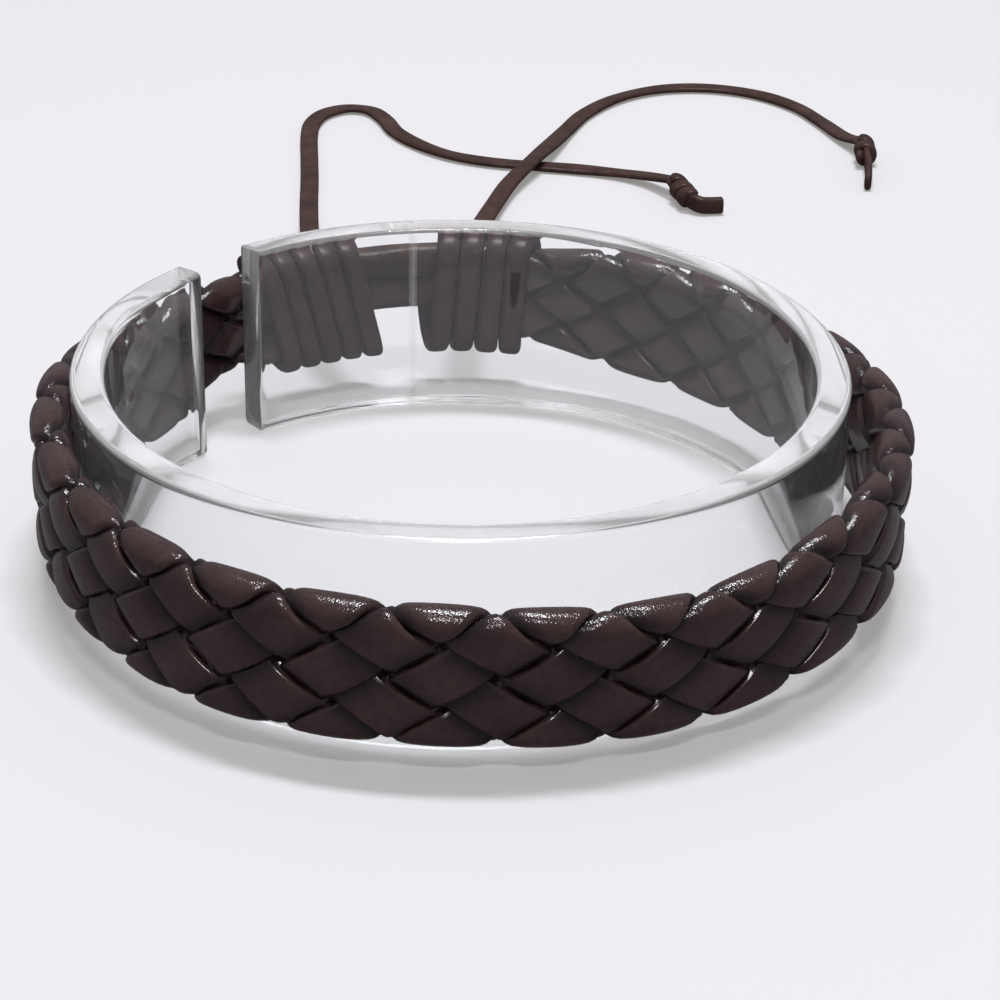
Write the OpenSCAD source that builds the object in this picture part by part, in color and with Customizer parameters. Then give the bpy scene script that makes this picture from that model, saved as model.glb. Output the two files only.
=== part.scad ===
// A flat braided leather bracelet tied round a clear display ring, with two knotted pull laces.
// Origin: on the surface that the ring stands on, below the middle of the box round the ring and
// the braid. +Z is up, -Y is the front.

/* [Display ring] */
// Outside diameter of the clear ring
ring_od = 62; // [58:1:70]
// Height of the ring
ring_h = 17.2; // [17:0.1:22]
// Thickness of the ring's wall
ring_wall = 2.8; // [2:0.1:4]
// Chamfer on the four edges of the wall
ring_edge = 0.4; // [0.2:0.1:0.8]
// Angle of the cut through the ring
cut_deg = 13.5; // [8:0.5:20]

/* [Braid] */
// Overall width of the flattened braid, which stands upright
braid_w = 11; // [10:0.2:13]
// Overall thickness of the flattened braid
braid_t = 3; // [3:0.1:3.6]
// Thickness of a leather strip at its edges
strip_t = 0.6; // [0.5:0.05:0.6]
// How much thicker a strip is along its middle where it shows
strip_crown = 0.05; // [0:0.01:0.05]
// Share of the space between crossings that a strip fills
strip_fill = 0.82; // [0.6:0.02:0.82]
// Angle round the loop from one crossing to the next
cell_deg = 6.6; // [6:0.1:8]

/* [Closure] */
// Turns of lace on the left wrap
turns_left = 5; // [4:1:6]
// Turns of lace on the right wrap
turns_right = 4; // [3:1:5]
// Share of a turn's room that the flat lace fills
turn_fill = 0.92; // [0.7:0.02:0.92]
// Lean of the left wrap's turns, in degrees round the loop from foot to top
turns_lean_deg = 3; // [0:0.5:3]
// Thickness of the flat lace that is wound round the braid
lace_t = 1; // [0.8:0.1:1.2]
// Height of each of the two laces that join the wraps
tie_h = 2.8; // [2:0.1:2.8]
// Thickness of each of the two laces that join the wraps
tie_t = 2.4; // [2:0.1:3]

/* [Pull laces] */
// Width of a free lace
lace_w = 2; // [1.4:0.1:2.2]
// Thickness of a free lace, which lies flat and loose
pull_t = 0.7; // [0.6:0.05:0.8]
// Radius of the body of a knot
knot_r = 1.2; // [1:0.1:1.2]
// Thickness of the turn that goes round the body of a knot
turn_t = 1; // [0.8:0.1:1.1]

/* [Hidden] */

// Everything below is worked out from the ring's axis; this is the middle of the box round the
// ring and the braid, seen from that axis
box_mid = [1.2, 0.8, 0];
ring_r = ring_od / 2;
// The cut in the ring lies at the back left
cut_mid_deg = 135.5;
round_fn = 180;

// Small clear space kept between pieces that touch on the real thing
seat_gap = 0.1;
strip_gap = 0.15;

// The two layers of a crossing lie this far to each side of the middle skin of the tube
weave_amp = (strip_t + strip_gap) / 2;
// From the middle skin of the flattened tube to the outermost leather
skin = weave_amp + strip_t / 2 + strip_crown;
fold_r = braid_t / 2 - skin;
skin_w = braid_w - 2 * skin;
// Eight strips make eight rows round the tube
row_count = 8;
// Half of a strip across, and half of the stretch where it lies flat over or under its neighbour
strip_half = strip_fill / 2;
flat_half = strip_half + 0.03;
// Crossing that the weave is counted from, where the photograph faces the braid
first_deg = 268;
row_shift = 0.12;
row_twist = 0.0047;
// A crossing this near the middle of a face lies flat and needs no section at its middle
flat_rows = 0.55;

// The braid's own loop, one row every loop_step degrees from loop_from:
// space between the ring and the braid, height of the braid's middle, lean of its top edge inwards
loop_from = 90;
loop_step = 30;
loop_rows = [
  [1.30, 9.30, 0],
  [1.35, 8.90, 0],
  [0.10, 8.10, 0],
  [0.05, 9.40, 0],
  [0.40, 8.60, 2],
  [1.15, 8.15, 6],
  [0.90, 7.70, 0],
  [1.45, 7.10, -4],
  [2.40, 8.80, 0],
  [1.60, 8.90, -3],
  [0.70, 8.70, -1],
  [1.00, 8.85, 1],
  [1.30, 9.30, 0],
  [1.35, 8.90, 0]];
col_space = 0;
col_height = 1;
col_lean = 2;

// Where the two wraps sit on the loop, and how deep the braid and the ties reach into them
wrap_left_deg = [103, 125];
wrap_right_deg = [437, 457];
braid_deg = [110.5, 449.5];
tie_deg = [107.8, 92.2];
// The ties pass above the middle of the wraps
tie_lift = 1.5;
// The braid is squeezed narrower over this angle before it enters a wrap
narrow_deg = 14;
narrow_share = 0.77;
wrap_clear = 0.2;
wrap_in_w = skin_w * narrow_share + 2 * skin + 2 * wrap_clear;
wrap_in_t = braid_t + 2 * wrap_clear;

// Middle line of each free pull lace, chosen point by point
cord_left_route = [
  [-11.8, 35.5, 10.6], [-13.0, 38.6, 10.9], [-14.0, 42.3, 10.3], [-14.7, 47.2, 8.7], [-15.1, 53.0, 6.4],
  [-15.5, 59.0, 4.1], [-15.8, 65.0, 2.2], [-16.2, 71.0, 1.0], [-16.6, 78.0, 0.5], [-16.9, 85.0, 0.45],
  [-17.3, 92.0, 0.45], [-17.7, 99.0, 0.45], [-17.6, 103.6, 0.45], [-16.4, 107.2, 0.45], [-13.8, 109.3, 0.45],
  [-11.0, 108.6, 0.45], [-9.2, 105.4, 0.45], [-7.8, 101.2, 0.45], [-5.3, 97.3, 0.45], [-1.8, 93.9, 0.45],
  [2.4, 91.8, 0.45], [7.4, 90.6, 0.45], [12.4, 89.7, 0.45], [16.8, 88.4, 0.55], [20.2, 86.2, 1.0],
  [22.8, 82.8, 1.8]];
cord_right_route = [
  [0.4, 37.3, 10.6], [0.6, 41.0, 10.6], [0.8, 46.4, 9.2], [1.0, 52.5, 6.9], [1.2, 58.5, 4.6],
  [1.5, 64.5, 2.7], [2.1, 70.5, 1.5], [3.3, 76.8, 1.0], [5.1, 83.2, 1.2], [8.0, 90.2, 1.55],
  [10.0, 96.2, 1.1], [11.8, 102.2, 0.55], [14.2, 108.4, 0.45], [18.2, 114.2, 0.45], [23.6, 117.8, 0.45],
  [29.6, 118.4, 0.45], [35.2, 116.2, 0.45], [39.4, 111.8, 0.45], [41.9, 106.4, 0.45], [43.7, 101.0, 0.7],
  [45.3, 96.6, 1.6]];

// Each knot: start and end of its body, then the heading, length and roll of its cut end
knot_left_place = [[22.9, 82.4, 1.8], [24.7, 77.6, 1.3], 0, 3.2, 90];
knot_right_place = [[45.3, 96.1, 1.7], [45.3, 91.8, 1.3], -97, 7.6, 90];

// Smooth value between the rows of a table, for a place counted in rows
function smooth(table, col, place) =
  let (i = min(max(floor(place), 0), len(table) - 2), t = place - i,
       p0 = table[max(i - 1, 0)][col], p1 = table[i][col],
       p2 = table[i + 1][col], p3 = table[min(i + 2, len(table) - 1)][col])
  0.5 * (2 * p1 + (p2 - p0) * t + (2 * p0 - 5 * p1 + 4 * p2 - p3) * t * t
    + (3 * p1 - 3 * p2 + p3 - p0) * t * t * t);
function loop_at(col, deg) = smooth(loop_rows, col, (deg - loop_from) / loop_step);
function ease(t) = let (c = min(max(t, 0), 1)) c * c * (3 - 2 * c);

// A place given across the band, u outwards and w upwards, set on the loop at an angle
function on_loop(deg, u, w) =
  let (lean = loop_at(col_lean, deg),
       r = ring_r + seat_gap + braid_t / 2 + loop_at(col_space, deg) + u * cos(lean) - w * sin(lean),
       z = loop_at(col_height, deg) + u * sin(lean) + w * cos(lean))
  [r * cos(deg), r * sin(deg), z];

// Round a flat outline with half-round ends: along it by share of its whole length, out by n
function on_outline(width, end_r, share, n) =
  let (flat = width / 2 - end_r, whole = 4 * flat + 2 * PI * end_r,
       place = (share - floor(share + 0.5)) * whole, side = place < 0 ? -1 : 1, p = abs(place),
       turn = min(max((p - flat) / end_r, 0), PI) * 180 / PI,
       along = p < flat ? p : p < flat + PI * end_r ? flat : 2 * flat + PI * end_r - p)
  [(end_r + n) * cos(turn), side * (along + (end_r + n) * sin(turn))];

// Share of its full width that the braid has at an angle, less where it enters a wrap
function width_share(deg) =
  let (from_left = (deg - wrap_left_deg[1] - turns_lean_deg) / narrow_deg,
       from_right = (wrap_right_deg[0] - deg) / narrow_deg)
  narrow_share + (1 - narrow_share) * ease(min(from_left, from_right));

// A place on the weave: a and b count crossings along the two ways that the strips run
function weave_deg(a, b) = first_deg + cell_deg * (a + b);
function weave_row(a, b) = row_shift + row_twist * (weave_deg(a, b) - first_deg) + a - b;
function on_weave(a, b, n) =
  let (deg = weave_deg(a, b),
       uw = on_outline(skin_w * width_share(deg), fold_r, weave_row(a, b) / row_count, n))
  on_loop(deg, uw[0], uw[1]);

// A strip of the first way holds b, and one of the second way holds a
function on_strip(way, own, run, across, n) =
  way == 0 ? on_weave(run, own + across, n) : on_weave(own + across, run, n);
function shows(way, own, cell) = (abs(own - cell) % 2) == way;
function faces_flat(way, own, cell) =
  let (row = way == 0 ? weave_row(cell, own) : weave_row(own, cell), half = row_count / 2)
  abs(row / half - round(row / half)) * half < flat_rows;

// Six points round a strip: three on its show side, three on its back
function strip_ring(way, own, cell, run) =
  let (up = shows(way, own, cell), mid = (up ? 1 : -1) * weave_amp, top = mid + strip_t / 2,
       bottom = mid - strip_t / 2, crown = up ? strip_crown : 0)
  [on_strip(way, own, run, -strip_half, top), on_strip(way, own, run, 0, top + crown),
   on_strip(way, own, run, strip_half, top), on_strip(way, own, run, strip_half, bottom),
   on_strip(way, own, run, 0, bottom), on_strip(way, own, run, -strip_half, bottom)];

// First and last crossing of a strip, and the rings of all its crossings
function first_cell(own) = ceil((braid_deg[0] - first_deg) / cell_deg - own);
function last_cell(own) = floor((braid_deg[1] - first_deg) / cell_deg - own);
function strip_rings(way, own) =
  [for (cell = [first_cell(own):last_cell(own)])
    for (step = faces_flat(way, own, cell) ? [-1, 1] : [-1, 0, 1])
      strip_ring(way, own, cell, cell + step * flat_half)];

// Triangles of a skin over rings of points; the slant of each pair of triangles is kept alike
// on facing sides of neighbouring strips
function skin_faces(rings, sides, slant_to) =
  [for (i = [0:rings - 2]) for (j = [0:sides - 1])
    let (k = (j + 1) % sides, p = i * sides, q = p + sides)
    each j < slant_to ? [[p + j, q + j, q + k], [p + j, q + k, p + k]]
                      : [[p + j, q + j, p + k], [q + j, q + k, p + k]]];
function end_faces(rings, sides) =
  let (last = (rings - 1) * sides)
  [for (j = [1:sides - 2]) each [[0, j, j + 1], [last, last + j + 1, last + j]]];
function turned(faces) = [for (f = faces) [f[2], f[1], f[0]]];

module skin_over(rings, slant_to, inside_out) {
  sides = len(rings[0]);
  faces = concat(skin_faces(len(rings), sides, slant_to), end_faces(len(rings), sides));
  polyhedron(points = [for (ring = rings) each ring], faces = inside_out ? turned(faces) : faces);
}

// One leather strip of the braid, over one neighbour and under the next all the way round
module strip(way, own) {
  color("#33211f") skin_over(strip_rings(way, own), 3, way == 1);
}

// Flat lace wound round the end of the braid; shares of the outline at which it is given a ring
wrap_end_r = wrap_in_t / 2 + lace_t / 2;
wrap_mid_w = wrap_in_w + lace_t;
wrap_flat = wrap_mid_w / 2 - wrap_end_r;
wrap_whole = 4 * wrap_flat + 2 * PI * wrap_end_r;
wrap_shares = [for (side = [0, 1]) for (turn = [0:45:180])
  (side * (2 * wrap_flat + PI * wrap_end_r) + wrap_flat + wrap_end_r * turn * PI / 180) / wrap_whole];
lace_outline = [[-1, 0], [-0.6, 1], [0.6, 1], [1, 0], [0.6, -1], [-0.6, -1]];

function wrap_ring(deg, half_deg, lean_deg, share) =
  [for (corner = lace_outline)
    let (uw = on_outline(wrap_mid_w, wrap_end_r, share, corner[1] * lace_t / 2),
         at = deg + corner[0] * half_deg + lean_deg * uw[1] * 2 / wrap_mid_w)
    on_loop(at, uw[0], uw[1])];

module wrap(deg, turns, lean_deg) {
  // The first and last turn start half a lace inside the wrap's ends
  pitch = (deg[1] - deg[0]) / (turns + 1);
  half = pitch * turn_fill / 2;
  color("#3a2623") skin_over([for (turn = [0:turns - 1]) for (share = wrap_shares)
    wrap_ring(deg[0] + pitch * (0.55 + turn + share), half, lean_deg, share)], 0, false);
}

// The two laces that join the wraps, side by side
tie_outline = [for (i = [0:7]) [cos(i * 45 + 22.5), sin(i * 45 + 22.5)] / cos(22.5)];
module tie(side) {
  steps = 6;
  lift = tie_lift + side * (tie_h + seat_gap) / 2;
  color("#4a3330") skin_over([for (i = [0:steps])
    let (deg = tie_deg[0] + (tie_deg[1] - tie_deg[0]) * i / steps)
    [for (corner = tie_outline) on_loop(deg, corner[0] * tie_t / 2, lift + corner[1] * tie_h / 2)]], 0, false);
}

// A flat lace swept along its route; it lies flat, its width level
function across_of(v) = let (flat = [v[1], -v[0], 0]) flat / norm(flat);
function heading(route, i) = route[min(i + 1, len(route) - 1)] - route[max(i - 1, 0)];
function lace_ring(route, i) =
  let (way = heading(route, i), side = across_of(way), up = cross(side, way / norm(way)))
  [for (corner = tie_outline) route[i] + side * corner[0] * lace_w / 2 + up * corner[1] * pull_t / 2];
module lace(route) {
  color("#3a2623") skin_over([for (i = [0:len(route) - 1]) lace_ring(route, i)], 0, true);
}

// A knot: a round body, one turn of the lace tight over it, and the lace's cut end
module knot(place) {
  start = place[0];
  run = place[1] - start;
  long = norm(run);
  bevel = knot_r * 0.3;
  color("#33211f") {
    translate(start) rotate([0, acos(run[2] / long), atan2(run[1], run[0])]) {
      rotate_extrude($fn = 48) polygon([[0, 0], [knot_r - bevel, 0], [knot_r, bevel],
        [knot_r, long - bevel], [knot_r - bevel, long], [0, long]]);
      translate([0, 0, long * 0.42]) rotate([0, -20, 0]) rotate_extrude($fn = 48)
        translate([knot_r - turn_t * 0.2, 0]) circle(r = turn_t / 2, $fn = 24);
    }
    translate([place[1][0], place[1][1], place[4] == 0 ? pull_t * 0.6 : lace_w * 0.55])
      rotate([0, 0, place[2]]) rotate([place[4], 0, 0])
        translate([-knot_r * 0.4, -lace_w / 2, -pull_t / 2]) cube([place[3], lace_w, pull_t]);
  }
}

module display_ring() {
  inner = ring_r - ring_wall;
  cut_half = cut_deg / 2;
  far = ring_r * 1.4;
  color([0.86, 0.89, 0.91, 0.35]) difference() {
    rotate_extrude($fn = round_fn) polygon([
      [inner + ring_edge, 0], [ring_r - ring_edge, 0], [ring_r, ring_edge],
      [ring_r, ring_h - ring_edge], [ring_r - ring_edge, ring_h], [inner + ring_edge, ring_h],
      [inner, ring_h - ring_edge], [inner, ring_edge]]);
    translate([0, 0, -1]) linear_extrude(ring_h + 2) polygon([[0, 0],
      far * [cos(cut_mid_deg - cut_half), sin(cut_mid_deg - cut_half)],
      far * [cos(cut_mid_deg + cut_half), sin(cut_mid_deg + cut_half)]]);
  }
}

module from_box_mid() translate(-box_mid) children();

from_box_mid() display_ring();
from_box_mid() strip(0, 0);  // strand_a1
from_box_mid() strip(0, 1);  // strand_a2
from_box_mid() strip(0, 2);  // strand_a3
from_box_mid() strip(0, 3);  // strand_a4
from_box_mid() strip(1, 0);  // strand_b1
from_box_mid() strip(1, 1);  // strand_b2
from_box_mid() strip(1, 2);  // strand_b3
from_box_mid() strip(1, 3);  // strand_b4
from_box_mid() wrap(wrap_left_deg, turns_left, turns_lean_deg);  // wrap_left
from_box_mid() wrap(wrap_right_deg, turns_right, 0);  // wrap_right
from_box_mid() tie(1);  // tie_upper
from_box_mid() tie(-1);  // tie_lower
from_box_mid() lace(cord_left_route);  // cord_left
from_box_mid() lace(cord_right_route);  // cord_right
from_box_mid() knot(knot_left_place);  // knot_left
from_box_mid() knot(knot_right_place);  // knot_right
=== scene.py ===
# A flat braided leather bracelet, tied with two knotted pull laces round a clear display ring.
import math

import bpy
import numpy as np
from mathutils import Matrix, Vector


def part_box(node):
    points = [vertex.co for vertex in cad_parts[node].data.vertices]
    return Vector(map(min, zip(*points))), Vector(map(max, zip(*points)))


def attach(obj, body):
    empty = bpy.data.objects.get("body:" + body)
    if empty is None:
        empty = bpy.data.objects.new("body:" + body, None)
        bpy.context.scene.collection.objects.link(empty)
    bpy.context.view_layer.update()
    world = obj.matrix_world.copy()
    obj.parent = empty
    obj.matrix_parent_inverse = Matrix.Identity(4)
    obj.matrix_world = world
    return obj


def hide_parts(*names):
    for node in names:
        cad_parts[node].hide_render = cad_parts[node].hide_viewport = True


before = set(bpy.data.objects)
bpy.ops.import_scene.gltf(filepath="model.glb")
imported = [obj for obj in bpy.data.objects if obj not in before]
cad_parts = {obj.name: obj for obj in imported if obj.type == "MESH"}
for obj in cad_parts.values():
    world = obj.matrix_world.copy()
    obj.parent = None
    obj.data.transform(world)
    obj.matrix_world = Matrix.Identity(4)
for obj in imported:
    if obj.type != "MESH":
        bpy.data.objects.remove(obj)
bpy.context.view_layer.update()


# The camera stands in front of the ring and a little above it, with a long lens, as the
# photograph was taken. Everything is placed from the ring's axis, on the surface that it stands on.
mm = 0.001
ring_low, ring_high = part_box("display_ring")
ring_axis = Vector(((ring_low.x + ring_high.x) / 2, (ring_low.y + ring_high.y) / 2, 0))
camera_back, camera_up = 200.95, 107.03
camera_pan_deg, camera_tip_deg, camera_roll_deg = -0.93, 63.0, 1.02
camera_data = bpy.data.cameras.new("camera")
camera_data.lens = 99.25
camera_data.sensor_width = 36
camera_data.clip_start = 0.01
camera = bpy.data.objects.new("camera", camera_data)
bpy.context.scene.collection.objects.link(camera)
camera.matrix_world = (
    Matrix.Translation(ring_axis + Vector((0, -camera_back * mm, camera_up * mm)))
    @ Matrix.Rotation(math.radians(camera_pan_deg), 4, "Z")
    @ Matrix.Rotation(math.radians(camera_tip_deg), 4, "X")
    @ Matrix.Rotation(math.radians(camera_roll_deg), 4, "Z")
)
bpy.context.scene.camera = camera


# The two pull laces: flat cut leather, dyed dark brown, that leave the wraps, drop to the table
# and run out in loose curves to their knots. Each is one swept mesh along its chosen route.
lace_w = 2.0
lace_t = 0.7
left_route = [
    [-11.8, 35.5, 10.6], [-13.0, 38.6, 10.9], [-14.0, 42.3, 10.3], [-14.7, 47.2, 8.7],
    [-15.1, 53.0, 6.4], [-15.5, 59.0, 4.1], [-15.8, 65.0, 2.2], [-16.2, 71.0, 1.0],
    [-16.6, 78.0, 0.5], [-16.9, 85.0, 0.45], [-17.3, 92.0, 0.45], [-17.7, 99.0, 0.45],
    [-17.6, 103.6, 0.45], [-16.4, 107.2, 0.45], [-13.8, 109.3, 0.45], [-11.0, 108.6, 0.45],
    [-9.2, 105.4, 0.45], [-7.8, 101.2, 0.45], [-5.3, 97.3, 0.45], [-1.8, 93.9, 0.45],
    [2.4, 91.8, 0.45], [7.4, 90.6, 0.45], [12.4, 89.7, 0.45], [16.8, 88.4, 0.55],
    [20.2, 86.2, 1.0], [22.8, 82.8, 1.8],
]
right_route = [
    [0.4, 37.3, 10.6], [0.6, 41.0, 10.6], [0.8, 46.4, 9.2], [1.0, 52.5, 6.9], [1.2, 58.5, 4.6],
    [1.5, 64.5, 2.7], [2.1, 70.5, 1.5], [3.3, 76.8, 1.0], [5.1, 83.2, 1.2], [8.0, 90.2, 1.55],
    [10.0, 96.2, 1.1], [11.8, 102.2, 0.55], [14.2, 108.4, 0.45], [18.2, 114.2, 0.45],
    [23.6, 117.8, 0.45], [29.6, 118.4, 0.45], [35.2, 116.2, 0.45], [39.4, 111.8, 0.45],
    [41.9, 106.4, 0.45], [43.7, 101.0, 0.7], [45.3, 96.6, 1.6],
]


def smooth_rows(rows, place):
    """Smooth values between the rows of a table, for places counted in rows."""
    rows = np.asarray(rows, float)
    place = np.asarray(place, float)
    i = np.clip(np.floor(place).astype(int), 0, len(rows) - 2)
    t = (place - i)[:, None]
    before, here = rows[np.maximum(i - 1, 0)], rows[i]
    after, beyond = rows[i + 1], rows[np.minimum(i + 2, len(rows) - 1)]
    return 0.5 * (
        2 * here
        + (after - before) * t
        + (2 * before - 5 * here + 4 * after - beyond) * t**2
        + (3 * here - 3 * after + beyond - before) * t**3
    )


def from_axis(points):
    """Points in millimetres from the ring's axis, as points of the frame in metres."""
    return np.asarray(points, float) * mm + np.array(ring_axis)


def plain_mesh(name, points, faces):
    mesh = bpy.data.meshes.new(name)
    mesh.from_pydata([tuple(p) for p in points], [], faces)
    mesh.validate()
    mesh.polygons.foreach_set("use_smooth", [True] * len(mesh.polygons))
    mesh.update()
    return mesh


def new_object(name, mesh, material=None):
    piece = bpy.data.objects.new(name, mesh)
    bpy.context.scene.collection.objects.link(piece)
    if material is not None:
        mesh.materials.clear()
        mesh.materials.append(material)
    return piece


def lace_profile(width, thickness, points=20, squareness=3.2):
    """Cross-section of a cut flat lace, with its edges smoothed round."""
    turn = np.arange(points) * 2 * math.pi / points
    across = np.sign(np.cos(turn)) * np.abs(np.cos(turn)) ** (2 / squareness)
    over = np.sign(np.sin(turn)) * np.abs(np.sin(turn)) ** (2 / squareness)
    return np.stack([across * width / 2, over * thickness / 2], 1)


def swept(points, sideways, upwards, profile, scale):
    """Points and faces of a closed tube with this profile; scale is one number for each ring."""
    count, around = len(points), len(profile)
    rings = (
        points[:, None, :]
        + sideways[:, None, :] * (profile[None, :, 0] * scale[:, None])[:, :, None]
        + upwards[:, None, :] * (profile[None, :, 1] * scale[:, None])[:, :, None]
    )
    faces = [
        (i * around + j, i * around + (j + 1) % around,
         (i + 1) * around + (j + 1) % around, (i + 1) * around + j)
        for i in range(count - 1) for j in range(around)
    ]
    first, last = count * around, count * around + 1
    for j in range(around):
        k = (j + 1) % around
        faces.append((first, k, j))
        faces.append((last, (count - 1) * around + j, (count - 1) * around + k))
    ends = np.stack([rings[0].mean(0), rings[-1].mean(0)])
    return np.concatenate([rings.reshape(-1, 3), ends]), faces


def level_frame(points, twist_deg):
    """Directions across and over a lace that lies flat, turned about its run by twist_deg."""
    way = np.gradient(points, axis=0)
    way /= np.linalg.norm(way, axis=1)[:, None]
    side = np.stack([way[:, 1], -way[:, 0], np.zeros(len(way))], 1)
    side /= np.linalg.norm(side, axis=1)[:, None]
    over = np.cross(side, way)
    turn = np.radians(twist_deg)[:, None]
    across = side * np.cos(turn) + over * np.sin(turn)
    return across, np.cross(across, way)


def rounded_ends(points, reach):
    """Share of the full width at each point of a run, falling off round over its ends."""
    along = np.concatenate([[0], np.cumsum(np.linalg.norm(np.diff(points, axis=0), axis=1))])
    near = np.minimum(along, along[-1] - along) / reach
    return np.sqrt(np.clip(1 - (1 - np.clip(near, 0, 1)) ** 2, 0.02, 1))


def group_socket(tree, name, way, kind="NodeSocketFloat", value=None):
    socket = tree.interface.new_socket(name, in_out=way, socket_type=kind)
    if value is not None:
        socket.default_value = value
    return socket


def leather_grain_group():
    """Fine pores and soft creases of leather: a height for Bump, and a mask of the low places."""
    tree = bpy.data.node_groups.new("leather_grain", "ShaderNodeTree")
    group_socket(tree, "Vector", "INPUT", "NodeSocketVector")
    group_socket(tree, "Pore Size", "INPUT", value=0.0002)
    group_socket(tree, "Crease Share", "INPUT", value=0.4)
    group_socket(tree, "Height", "OUTPUT")
    group_socket(tree, "Low Places", "OUTPUT")
    make, join = tree.nodes.new, tree.links.new
    entry, leave = make("NodeGroupInput"), make("NodeGroupOutput")
    per_metre = make("ShaderNodeMath")
    per_metre.operation = "DIVIDE"
    per_metre.inputs[0].default_value = 1
    join(entry.outputs["Pore Size"], per_metre.inputs[1])
    pores = make("ShaderNodeTexVoronoi")
    pores.feature = "SMOOTH_F1"
    pores.inputs["Smoothness"].default_value = 0.35
    join(entry.outputs["Vector"], pores.inputs["Vector"])
    join(per_metre.outputs[0], pores.inputs["Scale"])
    slower = make("ShaderNodeMath")
    slower.operation = "MULTIPLY"
    slower.inputs[1].default_value = 0.22
    join(per_metre.outputs[0], slower.inputs[0])
    creases = make("ShaderNodeTexNoise")
    creases.inputs["Detail"].default_value = 5
    creases.inputs["Roughness"].default_value = 0.62
    join(entry.outputs["Vector"], creases.inputs["Vector"])
    join(slower.outputs[0], creases.inputs["Scale"])
    mixed = make("ShaderNodeMix")
    join(entry.outputs["Crease Share"], mixed.inputs["Factor"])
    join(pores.outputs["Distance"], mixed.inputs["A"])
    join(creases.outputs["Fac"], mixed.inputs["B"])
    join(mixed.outputs["Result"], leave.inputs["Height"])
    low = make("ShaderNodeMapRange")
    low.inputs["From Min"].default_value = 0.55
    low.inputs["From Max"].default_value = 0.3
    join(creases.outputs["Fac"], low.inputs["Value"])
    join(low.outputs["Result"], leave.inputs["Low Places"])
    return tree


def dye_wander_group():
    """The uneven take-up of dye: blends two browns in soft patches, and gives a roughness."""
    tree = bpy.data.node_groups.new("dye_wander", "ShaderNodeTree")
    group_socket(tree, "Vector", "INPUT", "NodeSocketVector")
    group_socket(tree, "Patch Size", "INPUT", value=0.004)
    group_socket(tree, "Deep Color", "INPUT", "NodeSocketColor")
    group_socket(tree, "Worn Color", "INPUT", "NodeSocketColor")
    group_socket(tree, "Smooth", "INPUT", value=0.3)
    group_socket(tree, "Rough", "INPUT", value=0.5)
    group_socket(tree, "Color", "OUTPUT", "NodeSocketColor")
    group_socket(tree, "Roughness", "OUTPUT")
    make, join = tree.nodes.new, tree.links.new
    entry, leave = make("NodeGroupInput"), make("NodeGroupOutput")
    per_metre = make("ShaderNodeMath")
    per_metre.operation = "DIVIDE"
    per_metre.inputs[0].default_value = 1
    join(entry.outputs["Patch Size"], per_metre.inputs[1])
    patches = make("ShaderNodeTexNoise")
    patches.inputs["Detail"].default_value = 4
    join(entry.outputs["Vector"], patches.inputs["Vector"])
    join(per_metre.outputs[0], patches.inputs["Scale"])
    share = make("ShaderNodeMapRange")
    share.inputs["From Min"].default_value = 0.3
    share.inputs["From Max"].default_value = 0.7
    join(patches.outputs["Fac"], share.inputs["Value"])
    colour = make("ShaderNodeMix")
    colour.data_type = "RGBA"
    join(share.outputs["Result"], colour.inputs["Factor"])
    join(entry.outputs["Deep Color"], colour.inputs["A"])
    join(entry.outputs["Worn Color"], colour.inputs["B"])
    join(colour.outputs["Result"], leave.inputs["Color"])
    rough = make("ShaderNodeMix")
    join(share.outputs["Result"], rough.inputs["Factor"])
    join(entry.outputs["Smooth"], rough.inputs["A"])
    join(entry.outputs["Rough"], rough.inputs["B"])
    join(rough.outputs["Result"], leave.inputs["Roughness"])
    return tree


leather_grain = leather_grain_group()
dye_wander = dye_wander_group()


def socket_of(node, name, kind):
    """The input of a Mix node that belongs to its data type."""
    return next(s for s in node.inputs if s.name == name and s.type == kind)


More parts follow.
